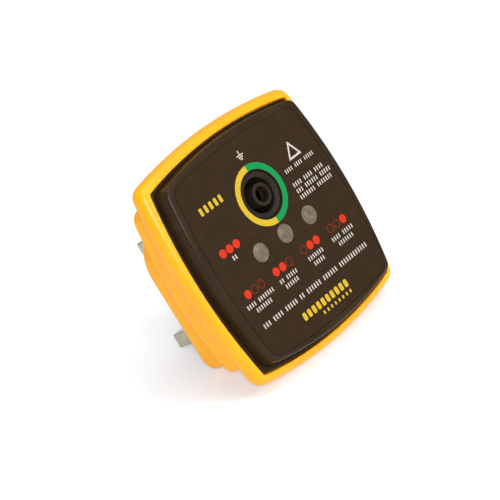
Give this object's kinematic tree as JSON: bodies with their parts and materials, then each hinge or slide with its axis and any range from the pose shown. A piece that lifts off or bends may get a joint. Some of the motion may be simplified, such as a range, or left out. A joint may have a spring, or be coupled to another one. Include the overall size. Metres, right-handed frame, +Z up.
{
  "type": "outlet tester plug",
  "caption": "Plug-in mains outlet tester: yellow casing with three flat pins behind, bowed square dark face with indicator lights and a shrouded test socket.",
  "frame": {"origin": "on the table under the middle of the tester as it rests, leaning back on the bezel's lower edge and the two lower pins", "axes": "+X to the right for someone who reads the face, +Y away from that reader, +Z up; the pins point along mount mating_face's axis, 23.6 degrees below +Y"},
  "size_m": [0.0644, 0.0652, 0.0596],
  "materials": {
    "casing_yellow": "moulded, fine satin",
    "cover_black": "moulded, satin with glossy edges",
    "label_film": "screen-printed film, fine grain",
    "rating_film": "silver label film",
    "socket_black": "smooth moulded",
    "window_smoke": "smoky translucent",
    "led_red": "clear tinted",
    "pin_nickel": "nickel plated, brushed",
    "contact_brass": "turned",
    "screw_zinc": "zinc plated",
    "board_green": "solder mask",
    "resistor_beige": "lacquered",
    "diode_black": "moulded",
    "capacitor_red": "film capacitor case",
    "varistor_blue": "epoxy dipped",
    "sleeve_black": "moulded",
    "carrier_white": "moulded",
    "wire_brown": "wire insulation",
    "wire_blue": "wire insulation",
    "wire_green": "wire insulation"
  },
  "bodies": {
    "root": {"rear_casing": "casing_yellow", "front_cover": "cover_black", "label_overlay": "label_film", "rating_plate": "rating_film", "led_window_left": "window_smoke", "led_window_middle": "window_smoke", "led_window_right": "window_smoke", "led_left": "led_red", "led_middle": "led_red", "led_right": "led_red", "earth_socket_shroud": "socket_black", "earth_socket_liner": "socket_black", "earth_socket_contact": "contact_brass", "earth_socket_nut": "socket_black", "earth_socket_tag": "screw_zinc", "circuit_board": "board_green", "resistor_1": "resistor_beige", "resistor_2": "resistor_beige", "resistor_3": "resistor_beige", "diode_1": "diode_black", "diode_2": "diode_black", "diode_3": "diode_black", "capacitor": "capacitor_red", "varistor": "varistor_blue", "live_pin": "pin_nickel", "neutral_pin": "pin_nickel", "earth_pin": "pin_nickel", "live_pin_sleeve": "sleeve_black", "neutral_pin_sleeve": "sleeve_black", "pin_carrier": "carrier_white", "carrier_screw_1": "screw_zinc", "carrier_screw_2": "screw_zinc", "board_screw_1": "screw_zinc", "board_screw_2": "screw_zinc", "board_screw_3": "screw_zinc", "casing_screw_1": "screw_zinc", "casing_screw_2": "screw_zinc", "casing_screw_3": "screw_zinc", "casing_screw_4": "screw_zinc", "live_wire": "wire_brown", "neutral_wire": "wire_blue", "earth_wire": "wire_green"}
  },
  "joints": []
}
